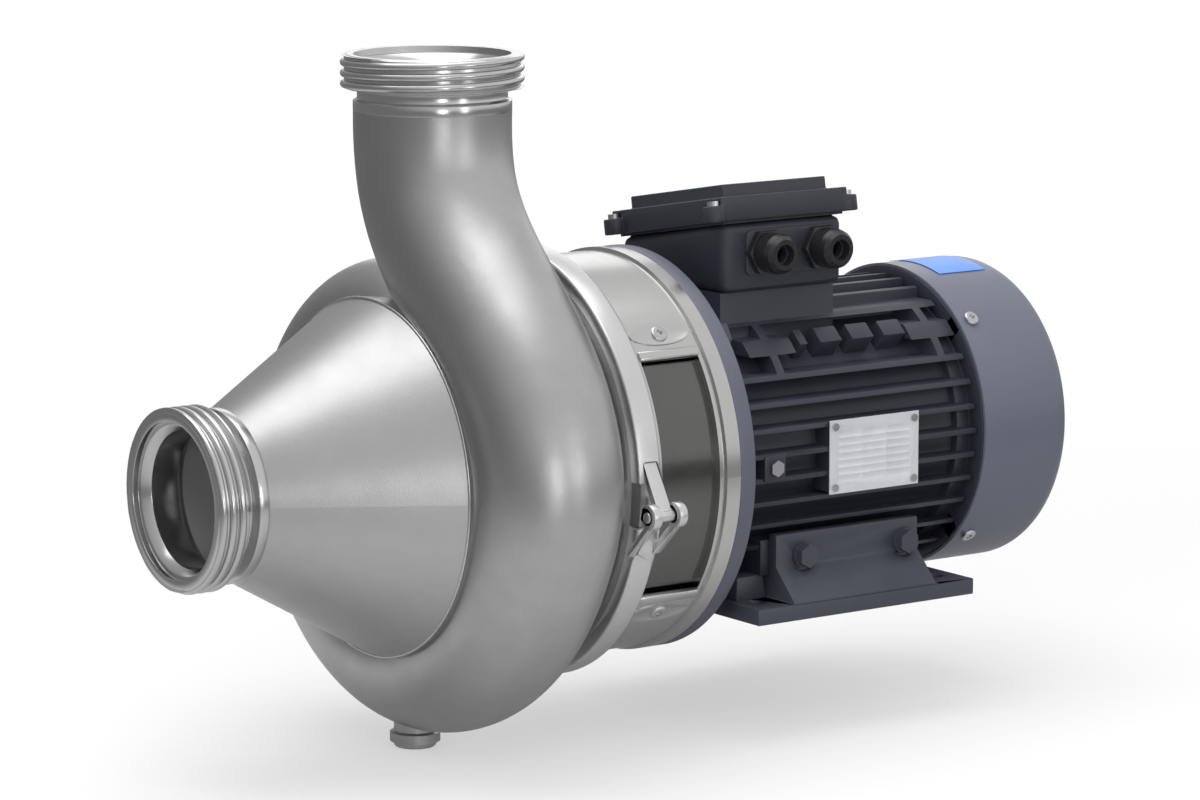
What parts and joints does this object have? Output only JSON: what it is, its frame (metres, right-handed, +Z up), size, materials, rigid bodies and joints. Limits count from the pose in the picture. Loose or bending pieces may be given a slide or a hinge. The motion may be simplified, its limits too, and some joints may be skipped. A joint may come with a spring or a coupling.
{
  "type": "sanitary centrifugal pump",
  "caption": "Sanitary centrifugal pump with a conical suction, a spiral casing, round-thread unions, a clamp band, a drum lantern and a foot-mounted fin-cooled motor.",
  "frame": {"origin": "centre of the motor's four foot holes, on the plane that the feet stand on", "axes": "+Z up, +Y along the shaft from the inlet to the motor's fan, +X to the right seen from the inlet"},
  "size_m": [0.3312, 0.6054, 0.4267],
  "materials": {
    "satin_steel": "glass-bead blasted, satin",
    "polished_steel": "turned and polished",
    "bright_fasteners": "bright stainless",
    "dark_fasteners": "painted over with the motor",
    "seal_ceramic": "lapped carbide",
    "rubber_black": "matte",
    "motor_paint": "dark blue-grey paint over cast aluminium",
    "cowl_paint": "dark blue-grey paint over sheet steel",
    "black_plastic": "matte",
    "bearing_steel": "ground",
    "core_steel": "laminated",
    "winding_copper": "varnished",
    "brass_studs": "plain",
    "blue_label": "printed film, left plain",
    "plate_aluminium": "satin anodised"
  },
  "bodies": {
    "frame": {"casing_cover": "satin_steel", "casing_o_ring": "rubber_black", "clamp_band_lower": "polished_steel", "closure_nut": "bright_fasteners", "cowl_label": "blue_label", "cowl_screws": "bright_fasteners", "discharge_union": "polished_steel", "drain_plug": "satin_steel", "drain_socket": "satin_steel", "drive_bearing_outer": "bearing_steel", "earth_screw": "bright_fasteners", "fan_cowl": "cowl_paint", "flange_bolts": "dark_fasteners", "foot_bolts": "dark_fasteners", "foot_left": "motor_paint", "foot_right": "motor_paint", "gland_bodies": "black_plastic", "gland_nuts": "black_plastic", "gland_seals": "rubber_black", "guard_screws": "bright_fasteners", "inlet_union": "polished_steel", "lantern": "polished_steel", "lid_gasket": "rubber_black", "lid_screws": "bright_fasteners", "motor_flange": "motor_paint", "motor_frame": "motor_paint", "nameplate": "plate_aluminium", "nameplate_rivets": "bright_fasteners", "rear_bearing_outer": "bearing_steel", "rear_shield": "motor_paint", "seal_seat": "seal_ceramic", "stator_core": "core_steel", "stator_windings": "winding_copper", "suction_cone": "satin_steel", "terminal_block": "black_plastic", "terminal_box": "motor_paint", "terminal_box_lid": "motor_paint", "terminal_studs": "brass_studs", "volute_casing": "satin_steel", "window_guard_left": "polished_steel", "window_guard_right": "polished_steel"},
    "rotor": {"motor_shaft": "bearing_steel", "rotor_core": "core_steel", "shaft_key": "bearing_steel", "drive_bearing_inner": "bearing_steel", "drive_bearing_balls": "bearing_steel", "rear_bearing_inner": "bearing_steel", "rear_bearing_balls": "bearing_steel", "cooling_fan": "black_plastic", "pump_shaft": "polished_steel", "shaft_clamp_collar": "polished_steel", "splash_ring": "rubber_black", "impeller": "polished_steel", "impeller_nut": "polished_steel", "rotating_seal_face": "seal_ceramic", "seal_spring": "bright_fasteners"},
    "clamp_upper": {"clamp_band_upper": "polished_steel", "closure_screw": "bright_fasteners"}
  },
  "joints": [
    {"name": "shaft_spin", "type": "hinge", "parent": "frame", "child": "rotor", "pos_m": [0, -0.18, 0.1], "axis": [0, 1, 0], "continuous": true},
    {"name": "clamp_swing", "type": "hinge", "parent": "frame", "child": "clamp_upper", "pos_m": [0.14644, -0.189, 0.08719], "axis": [0, 1, 0], "range_deg": [0, 30]}
  ]
}
